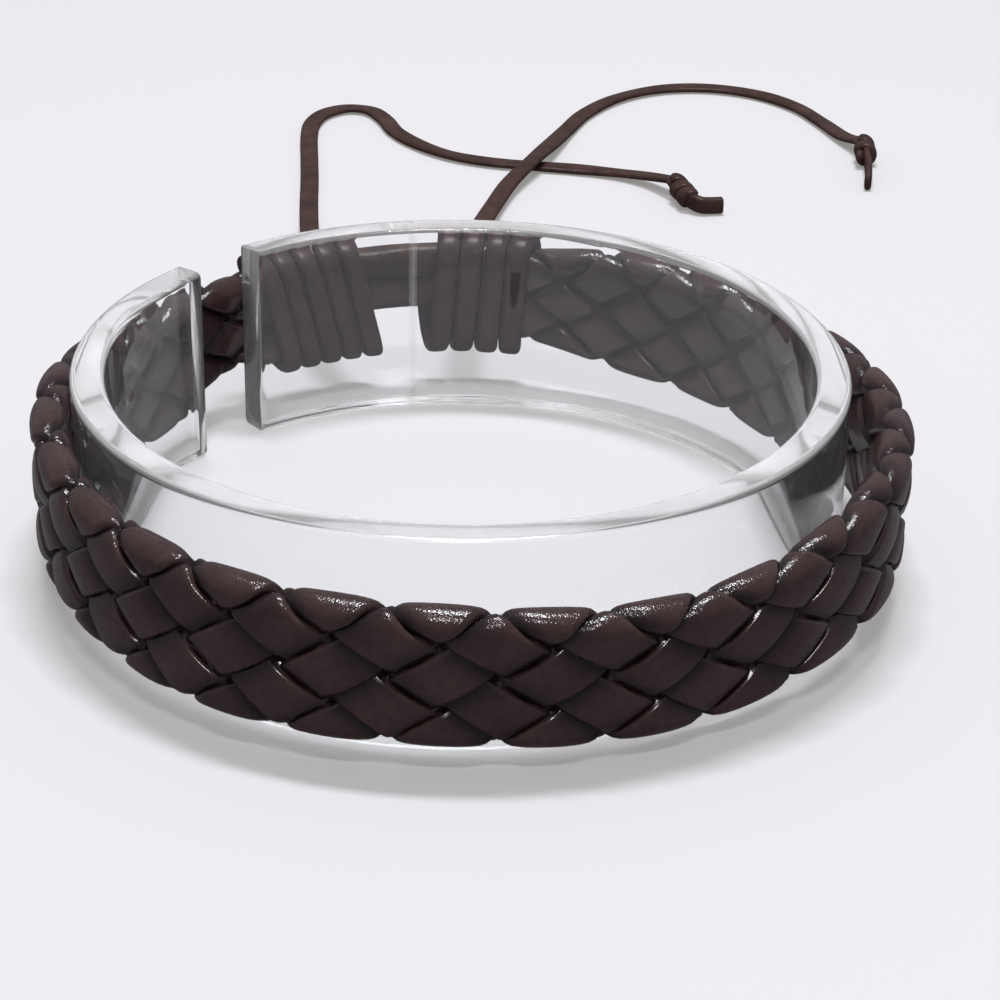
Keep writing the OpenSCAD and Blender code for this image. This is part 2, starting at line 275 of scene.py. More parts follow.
def leather(name, deep, worn, smooth, rough, pore_mm, bump_mm, crease_share, patch_mm, edge=None,
            bent=None, risen=None, shine=0.2, shine_rough=0.3):
    """Dyed and finished leather. edge is the attribute that holds the distance from a cut edge,
    bent the one that says where it is bent sharply, so that its finish is crazed there, and risen
    the one that says where it stands out. Its colour is darker where it dives and lighter where
    it stands out, tuned by look: painted shade in the grooves and painted light on top, not wear."""
    material = bpy.data.materials.new(name)
    material.use_nodes = True
    material.diffuse_color = (*deep, 1)
    tree = material.node_tree
    make, join = tree.nodes.new, tree.links.new
    shader = tree.nodes["Principled BSDF"]
    place = make("ShaderNodeTexCoord")
    dye = make("ShaderNodeGroup")
    dye.node_tree = dye_wander
    join(place.outputs["Object"], dye.inputs["Vector"])
    dye.inputs["Patch Size"].default_value = patch_mm * mm
    dye.inputs["Deep Color"].default_value = (*deep, 1)
    dye.inputs["Worn Color"].default_value = (*worn, 1)
    dye.inputs["Smooth"].default_value = smooth
    dye.inputs["Rough"].default_value = rough
    grain = make("ShaderNodeGroup")
    grain.node_tree = leather_grain
    join(place.outputs["Object"], grain.inputs["Vector"])
    grain.inputs["Pore Size"].default_value = pore_mm * mm
    grain.inputs["Crease Share"].default_value = crease_share
    bump = make("ShaderNodeBump")
    bump.inputs["Strength"].default_value = 1
    bump.inputs["Distance"].default_value = bump_mm * mm
    height = grain.outputs["Height"]
    if bent:
        how_bent = make("ShaderNodeAttribute")
        how_bent.attribute_name = bent
        stronger = make("ShaderNodeMapRange")
        stronger.inputs["To Min"].default_value = 1
        stronger.inputs["To Max"].default_value = 6
        join(how_bent.outputs["Fac"], stronger.inputs["Value"])
        crazed = make("ShaderNodeMath")
        crazed.operation = "MULTIPLY"
        join(height, crazed.inputs[0])
        join(stronger.outputs["Result"], crazed.inputs[1])
        height = crazed.outputs[0]
    join(height, bump.inputs["Height"])
    dark = make("ShaderNodeMix")
    dark.data_type = "RGBA"
    dark.blend_type = "MULTIPLY"
    join(grain.outputs["Low Places"], dark.inputs["Factor"])
    join(dye.outputs["Color"], socket_of(dark, "A", "RGBA"))
    socket_of(dark, "B", "RGBA").default_value = (0.72, 0.68, 0.68, 1)
    colour = next(s for s in dark.outputs if s.type == "RGBA")
    # Painted shade in the grooves: darker where a strip dives, lighter where it stands out
    if risen:
        how_risen = make("ShaderNodeAttribute")
        how_risen.attribute_name = risen
        painted_shade_factor = make("ShaderNodeMapRange")
        painted_shade_factor.inputs["From Min"].default_value = 0.5
        painted_shade_factor.inputs["To Min"].default_value = 0.3
        painted_shade_factor.inputs["To Max"].default_value = 1.45
        join(how_risen.outputs["Fac"], painted_shade_factor.inputs["Value"])
        painted_shade_mix = make("ShaderNodeMix")
        painted_shade_mix.data_type = "RGBA"
        painted_shade_mix.blend_type = "MULTIPLY"
        socket_of(painted_shade_mix, "Factor", "VALUE").default_value = 1
        join(colour, socket_of(painted_shade_mix, "A", "RGBA"))
        join(painted_shade_factor.outputs["Result"], socket_of(painted_shade_mix, "B", "RGBA"))
        colour = next(s for s in painted_shade_mix.outputs if s.type == "RGBA")
    normal = bump.outputs["Normal"]
    if edge:
        from_edge = make("ShaderNodeAttribute")
        from_edge.attribute_name = edge
        # A shallow crease runs beside each cut edge
        crease = make("ShaderNodeFloatCurve")
        line = crease.mapping.curves[0]
        line.points[0].location = (0, 0.9)
        line.points[1].location = (1, 1)
        for x, y in ((0.22, 0.95), (0.3, 0.35), (0.38, 1.0)):
            line.points.new(x, y)
        crease.mapping.update()
        join(from_edge.outputs["Fac"], crease.inputs["Value"])
        dent = make("ShaderNodeBump")
        dent.inputs["Distance"].default_value = 0.02 * mm
        join(crease.outputs["Value"], dent.inputs["Height"])
        join(normal, dent.inputs["Normal"])
        normal = dent.outputs["Normal"]
    join(colour, shader.inputs["Base Color"])
    join(dye.outputs["Roughness"], shader.inputs["Roughness"])
    join(normal, shader.inputs["Normal"])
    shader.inputs["Specular IOR Level"].default_value = 0
    shader.inputs["Coat Weight"].default_value = shine
    shader.inputs["Coat Roughness"].default_value = shine_rough
    join(normal, shader.inputs["Coat Normal"])
    return material


lace_leather = leather(
    "lace_leather", deep=(0.028, 0.0155, 0.0135), worn=(0.048, 0.0270, 0.0232), smooth=0.36,
    rough=0.5, pore_mm=0.22, bump_mm=0.04, crease_share=0.5, patch_mm=3)


# A lace turns a little about its run, more where it hangs in the air than where it lies
flat_twist_deg, air_twist_deg = 3, 22
row_step = 0.1
lace_end_round = 0.5


def pull_lace(name, route, tuck, bury, wander_seed):
    """One lace along its route; tuck and bury are where its hidden ends lie, in wrap and knot."""
    rows = np.array([tuck] + route + [bury])
    place = np.arange(0, len(rows) - 1 + 1e-6, row_step)
    points = smooth_rows(rows, place)
    wave = np.sin(place * 1.3 + wander_seed) + 0.6 * np.sin(place * 2.9 + 2 * wander_seed)
    above = np.clip((points[:, 2] - 1.2) / 4, 0, 1)
    across, over = level_frame(points, wave * (flat_twist_deg + air_twist_deg * above))
    scale = rounded_ends(points, lace_end_round)
    profile = lace_profile(lace_w, lace_t)
    mesh = plain_mesh(name, *swept(from_axis(points), across * mm, over * mm, profile, scale))
    piece = new_object(name, mesh, lace_leather)
    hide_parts(name)
    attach(piece, "root")
    return piece, from_axis(points), from_axis([route[0]])[0]


# Each lace ends in an overhand knot drawn tight: the lace winds round itself in two snug turns
# and its cut end sticks out. Each knot is one mesh of the same leather.
coil_r = 0.76
coil_inset = 0.55
coil_from = 0.7
turn_w, turn_t = 1.5, 0.95
turn_end_round, stub_end_round = 0.45, 0.18
steps_per_turn = 28


def knot_piece(name, start, end, turns, stub, stub_profile):
    start, end = np.array(start, float), np.array(end, float)
    axis = end - start
    long = np.linalg.norm(axis)
    axis /= long
    side = np.cross(axis, [0, 0, 1])
    side /= np.linalg.norm(side)
    up = np.cross(side, axis)
    parts = []
    # The turns round the core
    share = np.linspace(0, 1, int(turns * steps_per_turn) + 1)
    angle = share * turns * 2 * math.pi + coil_from
    out = side[None, :] * np.cos(angle)[:, None] + up[None, :] * np.sin(angle)[:, None]
    middle = start + axis * (coil_inset + share[:, None] * (long - 2 * coil_inset))
    line = middle + out * coil_r
    way = np.gradient(line, axis=0)
    way /= np.linalg.norm(way, axis=1)[:, None]
    across = np.cross(out, way)
    scale = rounded_ends(line, turn_end_round)
    parts.append(swept(line, -across, out, lace_profile(turn_w, turn_t), scale))
    # The core, and the cut end that leaves it
    core = np.array([start - axis * 0.1, start + axis * long * 0.5, end - axis * 0.5] + stub)
    place = np.arange(0, len(core) - 1 + 1e-6, row_step)
    line = smooth_rows(core, place)
    across, over = level_frame(line, np.zeros(len(line)))
    scale = rounded_ends(line, stub_end_round)
    parts.append(swept(line, across, over, stub_profile, scale))
    points, faces, shift = [], [], 0
    for part_points, part_faces in parts:
        points.append(part_points)
        faces += [tuple(v + shift for v in face) for face in part_faces]
        shift += len(part_points)
    piece = new_object(name, plain_mesh(name, from_axis(np.concatenate(points)), faces), lace_leather)
    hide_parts(name)
    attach(piece, "root")
    return piece


lace_left, left_path, left_exit = pull_lace(
    "cord_left", left_route, [-11.1, 33.9, 10.3], [23.25, 81.4, 1.7], 0.4)
lace_right, right_path, right_exit = pull_lace(
    "cord_right", right_route, [0.3, 35.6, 10.4], [45.3, 94.9, 1.6], 2.1)
tied_left = knot_piece(
    "knot_left", [22.9, 82.4, 1.8], [24.7, 77.6, 1.3], 2.3,
    [[25.5, 77.3, 1.1], [26.6, 77.4, 1.0], [28.0, 77.6, 1.0]], lace_profile(1.1, 1.8))
tied_right = knot_piece(
    "knot_right", [45.3, 96.1, 1.7], [45.3, 91.8, 1.3], 2.0,
    [[45.2, 90.0, 1.1], [44.9, 87.4, 1.0], [44.5, 84.9, 1.0]], lace_profile(0.8, 1.8))


# The braid: eight flat strips of smooth dark leather woven over one and under one into a
# flattened tube, which stands on its edge round the ring. Each strip is grown by the same tree.
# Lengths are in millimetres and angles in degrees round the ring. A crossing of the weave takes
# cell_deg, a strip reaches strip_half of a crossing to each side of its middle, and the rows of
# crossings climb by row_twist for each degree.
ring_r = 31.0
seat_gap = 0.1
braid_w = 11.0
braid_t = 3.0
strip_t = 0.66
strip_crown = 0.10
strip_half = 0.42
weave_amp = 0.38
cell_deg = 6.6
first_deg = 268
row_shift = 0.12
row_twist = 0.0047
skin = 0.725
fold_r = braid_t / 2 - skin
skin_w = braid_w - 2 * skin
braid_deg = (110.5, 449.5)
narrow_share = 0.77
narrow_deg = 14
wrap_left_deg = (103, 125)
wrap_right_deg = (437, 457)
wrap_lean_deg = 3
rings_per_cell = 14

# One row every 30 degrees from the back: the space between ring and braid, the height of the
# braid's middle, and the lean of its top edge inwards
loop_rows = [
    [1.30, 9.30, 0], [1.35, 8.90, 0], [0.10, 8.10, 0], [0.05, 9.40, 0], [0.40, 8.60, 2],
    [1.15, 8.15, 6], [0.90, 7.70, 0], [1.45, 7.10, -4], [2.40, 8.80, 0], [1.60, 8.90, -3],
    [0.70, 8.70, -1], [1.00, 8.85, 1], [1.30, 9.30, 0], [1.35, 8.90, 0],
]
row_deg = 30
rail_from_deg, rail_to_deg = 95.0, 465.0
rail_step_deg = 0.25


def loop_frame(deg):
    """Middle of the braid at these angles, and its outward and upward directions."""
    space, height, lean = smooth_rows(loop_rows, (deg - 90) / row_deg).T
    angle, lean = np.radians(deg), np.radians(lean)
    radius = ring_r + seat_gap + braid_t / 2 + space
    middle = np.stack([radius * np.cos(angle), radius * np.sin(angle), height], 1)
    outward = np.stack(
        [np.cos(lean) * np.cos(angle), np.cos(lean) * np.sin(angle), np.sin(lean)], 1)
    upward = np.stack(
        [-np.sin(lean) * np.cos(angle), -np.sin(lean) * np.sin(angle), np.cos(lean)], 1)
    return middle, outward, upward


def full_width(deg):
    """Width of the braid's middle skin, squeezed narrower where it enters a wrap."""
    from_left = (deg - wrap_left_deg[1] - wrap_lean_deg) / narrow_deg
    from_right = (wrap_right_deg[0] - deg) / narrow_deg
    c = np.clip(np.minimum(from_left, from_right), 0, 1)
    return skin_w * (narrow_share + (1 - narrow_share) * c * c * (3 - 2 * c))


rail_deg = np.arange(rail_from_deg, rail_to_deg + rail_step_deg / 2, rail_step_deg)
rail_middle, rail_outward, rail_upward = loop_frame(rail_deg)
rail_mesh = bpy.data.meshes.new("braid_rail")
rail_mesh.from_pydata([tuple(p) for p in rail_middle], [], [])
for attribute_name, rows in (("outward", rail_outward), ("upward", rail_upward)):
    attribute = rail_mesh.attributes.new(attribute_name, "FLOAT_VECTOR", "POINT")
    attribute.data.foreach_set("vector", rows.astype(np.float32).ravel())
attribute = rail_mesh.attributes.new("skin_width", "FLOAT", "POINT")
attribute.data.foreach_set("value", full_width(rail_deg).astype(np.float32))
rail = new_object("braid_rail", rail_mesh)


def feed(tree, slot, item):
    """Gives an input socket a plain number, or links it to a running one."""
    if isinstance(item, Sum):
        tree.links.new(item.socket, slot)
    else:
        slot.default_value = item


class Sum:
    """A number that runs through a node tree: arithmetic on it adds Math nodes."""

    def __init__(self, tree, socket):
        self.tree, self.socket = tree, socket

    def math(self, operation, *others, first=None):
        node = self.tree.nodes.new("ShaderNodeMath")
        node.operation = operation
        items = (self, *others) if first is None else (first, self)
        for slot, item in zip(node.inputs, items):
            feed(self.tree, slot, item)
        return Sum(self.tree, node.outputs[0])

    def __add__(self, other):
        return self.math("ADD", other)

    def __sub__(self, other):
        return self.math("SUBTRACT", other)

    def __rsub__(self, other):
        return self.math("SUBTRACT", first=other)

    def __mul__(self, other):
        return self.math("MULTIPLY", other)

    def __truediv__(self, other):
        return self.math("DIVIDE", other)

    def at_least(self, low):
        return self.math("MAXIMUM", low)

    def at_most(self, high):
        return self.math("MINIMUM", high)

    __rmul__ = __mul__


def outline_group():
    """Round a flat outline with half-round ends, by share of its length; out by Out."""
    tree = bpy.data.node_groups.new("round_flat_outline", "GeometryNodeTree")
    for name in ("Width", "End Radius", "Share", "Out"):
        group_socket(tree, name, "INPUT")
    group_socket(tree, "Outward", "OUTPUT")
    group_socket(tree, "Upward", "OUTPUT")
    entry, leave = tree.nodes.new("NodeGroupInput"), tree.nodes.new("NodeGroupOutput")
    width, end_r, share, out = [Sum(tree, entry.outputs[i]) for i in range(4)]
    flat = width * 0.5 - end_r
    whole = flat * 4 + end_r * (2 * math.pi)
    place = (share - (share + 0.5).math("FLOOR")) * whole
    side = (place.math("GREATER_THAN", 0)) * 2 - 1
    p = place.math("ABSOLUTE")
    turn = ((p - flat) / end_r).at_least(0).at_most(math.pi)
    along = p.at_most(flat) - (p - flat - end_r * math.pi).at_least(0)
    reach = end_r + out
    outward = reach * turn.math("COSINE")
    upward = side * (along + reach * turn.math("SINE"))
    tree.links.new(outward.socket, leave.inputs[0])
    tree.links.new(upward.socket, leave.inputs[1])
    return tree


def on_loop_group():
    """Sets a place given across the braid on the loop at an angle, from the rail's points."""
    tree = bpy.data.node_groups.new("set_on_loop", "GeometryNodeTree")
    group_socket(tree, "Rail", "INPUT", "NodeSocketGeometry")
    for name in ("Angle", "Outward", "Upward"):
        group_socket(tree, name, "INPUT")
    group_socket(tree, "Position", "OUTPUT", "NodeSocketVector")
    make, join = tree.nodes.new, tree.links.new
    entry, leave = make("NodeGroupInput"), make("NodeGroupOutput")
    place = (Sum(tree, entry.outputs["Angle"]) - rail_from_deg) / rail_step_deg
    index = place.math("FLOOR")
    part = place - index

    def sampled(field):
        ends = []
        for at in (index, index + 1):
            sample = make("GeometryNodeSampleIndex")
            sample.data_type = "FLOAT_VECTOR"
            sample.clamp = True
            join(entry.outputs["Rail"], sample.inputs["Geometry"])
            join(field, sample.inputs["Value"])
            join(at.socket, sample.inputs["Index"])
            ends.append(sample.outputs["Value"])
        between = make("ShaderNodeMix")
        between.data_type = "VECTOR"
        join(part.socket, between.inputs["Factor"])
        join(ends[0], socket_of(between, "A", "VECTOR"))
        join(ends[1], socket_of(between, "B", "VECTOR"))
        return next(s for s in between.outputs if s.type == "VECTOR")

    def named(attribute_name):
        node = make("GeometryNodeInputNamedAttribute")
        node.data_type = "FLOAT_VECTOR"
        node.inputs["Name"].default_value = attribute_name
        return node.outputs["Attribute"]

    total = sampled(make("GeometryNodeInputPosition").outputs[0])
    for attribute_name, name in (("outward", "Outward"), ("upward", "Upward")):
        step = make("ShaderNodeVectorMath")
        step.operation = "SCALE"
        join(sampled(named(attribute_name)), step.inputs[0])
        join(entry.outputs[name], step.inputs["Scale"])
        added = make("ShaderNodeVectorMath")
        join(total, added.inputs[0])
        join(step.outputs[0], added.inputs[1])
        total = added.outputs[0]
    join(total, leave.inputs["Position"])
    return tree


round_flat_outline = outline_group()
set_on_loop = on_loop_group()


class Growing:
    """A Geometry Nodes tree that turns a tube of plain rings into a strip or a lace."""

    def __init__(self, name, inputs):
        self.tree = bpy.data.node_groups.new(name, "GeometryNodeTree")
        self.make, self.join = self.tree.nodes.new, self.tree.links.new
        group_socket(self.tree, "Geometry", "OUTPUT", "NodeSocketGeometry")
        self.entry = self.make("NodeGroupInput")
        for input_name, kind, value in inputs:
            group_socket(self.tree, input_name, "INPUT", kind, value)

    def value(self, name):
        return Sum(self.tree, self.entry.outputs[name])

    def tube(self):
        """The tube, and for each of its points the share round it and along it."""
        node = self.make("GeometryNodeMeshCylinder")
        node.fill_type = "NGON"
        self.join(self.entry.outputs["Points Around"], node.inputs["Vertices"])
        self.join(self.entry.outputs["Rings"], node.inputs["Side Segments"])
        node.inputs["Depth"].default_value = 1
        parts = self.make("ShaderNodeSeparateXYZ")
        self.join(self.make("GeometryNodeInputPosition").outputs[0], parts.inputs[0])
        x, y, z = [Sum(self.tree, parts.outputs[i]) for i in range(3)]
        return node.outputs["Mesh"], y.math("ARCTAN2", x) / (2 * math.pi), z + 0.5

    def outline(self, width, end_r, share, out):
        node = self.make("GeometryNodeGroup")
        node.node_tree = round_flat_outline
        for slot, item in zip(node.inputs, (width, end_r, share, out)):
            feed(self.tree, slot, item)
        return Sum(self.tree, node.outputs[0]), Sum(self.tree, node.outputs[1])

    def on_loop(self, angle, outward, upward):
        info = self.make("GeometryNodeObjectInfo")
        self.join(self.entry.outputs["Rail"], info.inputs["Object"])
        node = self.make("GeometryNodeGroup")
        node.node_tree = set_on_loop
        self.join(info.outputs["Geometry"], node.inputs["Rail"])
        for slot_name, item in (("Angle", angle), ("Outward", outward), ("Upward", upward)):
            self.join(item.socket, node.inputs[slot_name])
        return node.outputs["Position"]

    def noise(self, *place):
        """Smooth noise from about -1 to 1 at a place of up to three numbers."""
        vector = self.make("ShaderNodeCombineXYZ")
        for slot, item in zip(vector.inputs, place):
            feed(self.tree, slot, item)
        node = self.make("ShaderNodeTexNoise")
        node.inputs["Scale"].default_value = 1
        node.inputs["Detail"].default_value = 1
        self.join(vector.outputs[0], node.inputs["Vector"])
        return (Sum(self.tree, node.outputs[0]) - 0.5) * 2.6

    def stored(self, mesh, name, value):
        node = self.make("GeometryNodeStoreNamedAttribute")
        node.data_type = "FLOAT"
        node.domain = "POINT"
        node.inputs["Name"].default_value = name
        self.join(mesh, node.inputs["Geometry"])
        self.join(value.socket, node.inputs["Value"])
        return node.outputs["Geometry"]

    def finish(self, mesh, position):
        placed = self.make("GeometryNodeSetPosition")
        self.join(mesh, placed.inputs["Geometry"])
        self.join(position, placed.inputs["Position"])
        smooth = self.make("GeometryNodeSetShadeSmooth")
        self.join(placed.outputs[0], smooth.inputs[0])
        real = self.make("GeometryNodeRealizeInstances")
        self.join(smooth.outputs[0], real.inputs[0])
        dressed = self.make("GeometryNodeSetMaterial")
        self.join(real.outputs[0], dressed.inputs["Geometry"])
        self.join(self.entry.outputs["Material"], dressed.inputs["Material"])
        leave = self.make("NodeGroupOutput")
        self.join(dressed.outputs[0], leave.inputs[0])


def grown(name, tree, values):
    """A piece whose mesh is what the tree makes of these values, then moved to the frame."""
    piece = new_object(name, bpy.data.meshes.new(name))
    modifier = piece.modifiers.new(name, "NODES")
    modifier.node_group = tree
    for item in tree.interface.items_tree:
        if item.in_out == "INPUT" and item.name in values:
            modifier[item.identifier] = values[item.name]
    bpy.context.view_layer.update()
    shape = piece.evaluated_get(bpy.context.evaluated_depsgraph_get())
    mesh = bpy.data.meshes.new_from_object(shape)
    piece.modifiers.clear()
    piece.data = mesh
    mesh.name = name
    mesh.transform(Matrix.Translation(ring_axis) @ Matrix.Scale(mm, 4))
    return piece


strip_tree = Growing("braid_strip", [
    ("Rail", "NodeSocketObject", None),
    ("Material", "NodeSocketMaterial", None),
    ("Points Around", "NodeSocketInt", 44),
    ("Rings", "NodeSocketInt", 700),
    ("Way", "NodeSocketFloat", 0.0),
    ("Own", "NodeSocketFloat", 0.0),
    ("Run From", "NodeSocketFloat", 0.0),
    ("Run To", "NodeSocketFloat", 1.0),
    ("Half Width", "NodeSocketFloat", strip_half),
    ("Thickness", "NodeSocketFloat", strip_t),
    ("Crown", "NodeSocketFloat", strip_crown),
    ("Weave Depth", "NodeSocketFloat", weave_amp),
    ("Seed", "NodeSocketFloat", 5.0),
])
mesh, around, along = strip_tree.tube()
way, own = strip_tree.value("Way"), strip_tree.value("Own")
run_from, run_to = strip_tree.value("Run From"), strip_tree.value("Run To")
thickness, half = strip_tree.value("Thickness"), strip_tree.value("Half Width")
run = run_from + (run_to - run_from) * along
sign = way * 2 - 1
# The strip's own section, in millimetres: a flat band with its cut edges rounded
cell_mm = 3.9
edge_power = 0.95
edge_r = 0.5 * thickness
over_mm, across_mm = strip_tree.outline(half * (2 * cell_mm), edge_r, around, 0.0)
over_side = over_mm.math("GREATER_THAN", 0) * 2 - 1
over_mm = (over_mm.math("ABSOLUTE") / edge_r).math("POWER", edge_power) * edge_r * over_side
across = across_mm / (half * cell_mm)
# No two crossings are quite alike: width as a share, drift in cells, lift and tilt in millimetres
width_stray, drift_cells, lift_mm, tilt_mm = 0.05, 0.03, 0.06, 0.09
lane = own * 7.31 + way * 41.7 + strip_tree.value("Seed")
width_wander = strip_tree.noise(run * 0.45, lane, 3.0) * width_stray + 1
drift = strip_tree.noise(run * 0.3, lane, 11.0) * drift_cells
lift = strip_tree.noise(run * 0.5, lane, 19.0) * lift_mm
tilt = strip_tree.noise(run * 0.5, lane, 27.0) * tilt_mm
swing = ((run - own) * math.pi).math("COSINE") * (way * -2 + 1)
# At the braid's two edges a strip is bent sharply, which holds it flatter along its run
first_row = (run + own) * (cell_deg * row_twist) + row_shift + (run - own) * (way * -2 + 1)
edge_bend = ((first_row * (math.pi / 2)).math("COSINE") * -1).at_least(0)
# It lies flat over a crossing and dips between two: a squared wave and a round one together
square_gain = 2.6
square_share, edge_square_more = 0.4, 0.55
round_share, edge_round_less = 0.62, 0.58
weave = ((swing * square_gain).math("TANH") * (edge_bend * edge_square_more + square_share)
         + swing * (edge_bend * -edge_round_less + round_share))
shown = (weave * 0.5 + 0.5).at_least(0).at_most(1)
# Where a strip dives under its neighbour its underside spreads, which closes the corners
under_spread, edge_spread = 0.5, 0.08
spread = (weave * weave * -1 + 1).at_least(0) * (over_mm * (-2 / strip_t)).at_least(0)
wider = (spread * under_spread + 1) * (edge_bend * edge_spread + 1)
offset = across * half * width_wander * wider * sign + drift
bulge = (across * across * -1 + 1) * strip_tree.value("Crown") * shown
held = own + offset
a = run + (held - run) * way
b = held + (run - held) * way
angle = (a + b) * cell_deg + first_deg
row = (angle - first_deg) * row_twist + row_shift + a - b
bent = ((row * (math.pi / 2)).math("COSINE") * -1).at_least(0)
fold = bent * bent
# The sharp bend at the braid's edge stands a little proud
hump_mm = 0.02
hump = fold * shown * (1 - across * across * 0.5) * hump_mm
out = (weave * strip_tree.value("Weave Depth") + over_mm + bulge
       + hump + lift * shown + tilt * across)
rail_info = strip_tree.make("GeometryNodeObjectInfo")
strip_tree.join(strip_tree.entry.outputs["Rail"], rail_info.inputs["Object"])
width_at = strip_tree.make("GeometryNodeSampleIndex")
width_at.data_type = "FLOAT"
width_at.clamp = True
width_name = strip_tree.make("GeometryNodeInputNamedAttribute")
width_name.data_type = "FLOAT"
width_name.inputs["Name"].default_value = "skin_width"
strip_tree.join(rail_info.outputs["Geometry"], width_at.inputs["Geometry"])
strip_tree.join(width_name.outputs["Attribute"], width_at.inputs["Value"])
strip_tree.join(((angle - rail_from_deg) / rail_step_deg).socket, width_at.inputs["Index"])
outward, upward = strip_tree.outline(
    Sum(strip_tree.tree, width_at.outputs["Value"]), fold_r, row / 8, out)
edge_mm = (across.math("ABSOLUTE") * -1 + 1) * half * cell_mm
mesh = strip_tree.stored(mesh, "from_edge", edge_mm)
mesh = strip_tree.stored(mesh, "bent", fold)
# risen, where a strip stands out, sets the painted shade in the braid's colour
mesh = strip_tree.stored(mesh, "risen", shown)
strip_tree.finish(mesh, strip_tree.on_loop(angle, outward, upward))

braid_leather = leather(
    "braid_leather", deep=(0.0172, 0.0090, 0.0095), worn=(0.0275, 0.0150, 0.0155), smooth=0.25,
    rough=0.34, pore_mm=0.16, bump_mm=0.008, crease_share=0.55, patch_mm=5, edge="from_edge",
    bent="bent", risen="risen", shine=0.6, shine_rough=0.17)

for way_index, letter in enumerate("ab"):
    for number in range(4):
        name = f"strand_{letter}{number + 1}"
        run_start = (braid_deg[0] - first_deg) / cell_deg - number
        run_end = (braid_deg[1] - first_deg) / cell_deg - number
        strip = grown(name, strip_tree.tree, {
            "Rail": rail, "Material": braid_leather, "Points Around": 44,
            "Rings": round((run_end - run_start) * rings_per_cell), "Way": float(way_index),
            "Own": float(number), "Run From": run_start, "Run To": run_end,
            "Half Width": strip_half, "Thickness": strip_t, "Crown": strip_crown,
            "Weave Depth": weave_amp, "Seed": 5.0})
        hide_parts(name)
        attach(strip, "root")


# The two wraps: flat lace wound tightly round the ends of the braid and round the other lace, so
# that the closure slides. Each is one long helix whose two ends are tucked in under the turns.
turn_fill = 0.92
wrap_clear = 0.2
wrap_in_w = skin_w * narrow_share + 2 * skin + 2 * wrap_clear
wrap_in_t = braid_t + 2 * wrap_clear
wound_t = 1.0
first_turn_share = 0.55
rings_per_turn = 90

wrap_tree = Growing("lace_wrap", [
    ("Rail", "NodeSocketObject", None),
    ("Material", "NodeSocketMaterial", None),
    ("Points Around", "NodeSocketInt", 24),
    ("Rings", "NodeSocketInt", 400),
    ("Start Angle", "NodeSocketFloat", 0.0),
    ("Pitch", "NodeSocketFloat", 1.0),
    ("Turns", "NodeSocketFloat", 5.0),
    ("Half Angle", "NodeSocketFloat", 1.0),
    ("Lean", "NodeSocketFloat", 0.0),
    ("Thickness", "NodeSocketFloat", wound_t),
    ("Seed", "NodeSocketFloat", 2.0),
])
mesh, around, along = wrap_tree.tube()
turns, pitch = wrap_tree.value("Turns"), wrap_tree.value("Pitch")
wrap_seed, lace_thick = wrap_tree.value("Seed"), wrap_tree.value("Thickness")
wound = along * turns
# Each turn's own section in millimetres, how its ends sag in, and how the turns differ
flat_mm = 2.1
wound_crown, end_sag, puff_mm = 0.12, 0.55, 0.09
slip_turns, squeeze_share = 0.14, 0.07
over_mm, across_mm = wrap_tree.outline(flat_mm, lace_thick * 0.5, around, 0.0)
across = across_mm / (flat_mm / 2)
at_end = (along.at_most(along * -1 + 1) * turns * 6).at_most(1)
sag = (at_end * -1 + 1) * -end_sag
puff = wrap_tree.noise(wound * 1.7, wrap_seed, 5.0) * puff_mm
slip = wrap_tree.noise(wound * 1.1, wrap_seed, 15.0) * slip_turns
squeeze = wrap_tree.noise(wound * 1.3, wrap_seed, 25.0) * squeeze_share + 1
outward, upward = wrap_tree.outline(
    wrap_in_w + wound_t, (wrap_in_t + wound_t) / 2, wound,
    over_mm + (across * across * -1 + 1) * wound_crown + sag + puff)
angle = (wrap_tree.value("Start Angle") + pitch * (wound + slip)
         + across * squeeze * wrap_tree.value("Half Angle")
         + upward * wrap_tree.value("Lean") * (2 / (wrap_in_w + wound_t)))
mesh = wrap_tree.stored(mesh, "from_edge", (across.math("ABSOLUTE") * -1 + 1) * (flat_mm / 2))
wrap_tree.finish(mesh, wrap_tree.on_loop(angle, outward, upward))

wound_leather = leather(
    "wound_leather", deep=(0.0250, 0.0135, 0.0152), worn=(0.0390, 0.0215, 0.0240), smooth=0.32,
    rough=0.42, pore_mm=0.18, bump_mm=0.004, crease_share=0.5, patch_mm=3, edge="from_edge")
for name, span, turn_count, lean, seed in (
        ("wrap_left", wrap_left_deg, 5, wrap_lean_deg, 2.0),
        ("wrap_right", wrap_right_deg, 4, 0, 9.0)):
    pitch_deg = (span[1] - span[0]) / (turn_count + 1)
    start_deg = span[0] + pitch_deg * first_turn_share
    wrap = grown(name, wrap_tree.tree, {
        "Rail": rail, "Material": wound_leather, "Points Around": 24,
        "Rings": turn_count * rings_per_turn, "Start Angle": start_deg,
        "Pitch": pitch_deg, "Turns": float(turn_count), "Half Angle": pitch_deg * turn_fill / 2,
        "Lean": float(lean), "Thickness": wound_t, "Seed": seed})
    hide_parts(name)
    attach(wrap, "root")
bpy.data.objects.remove(rail)


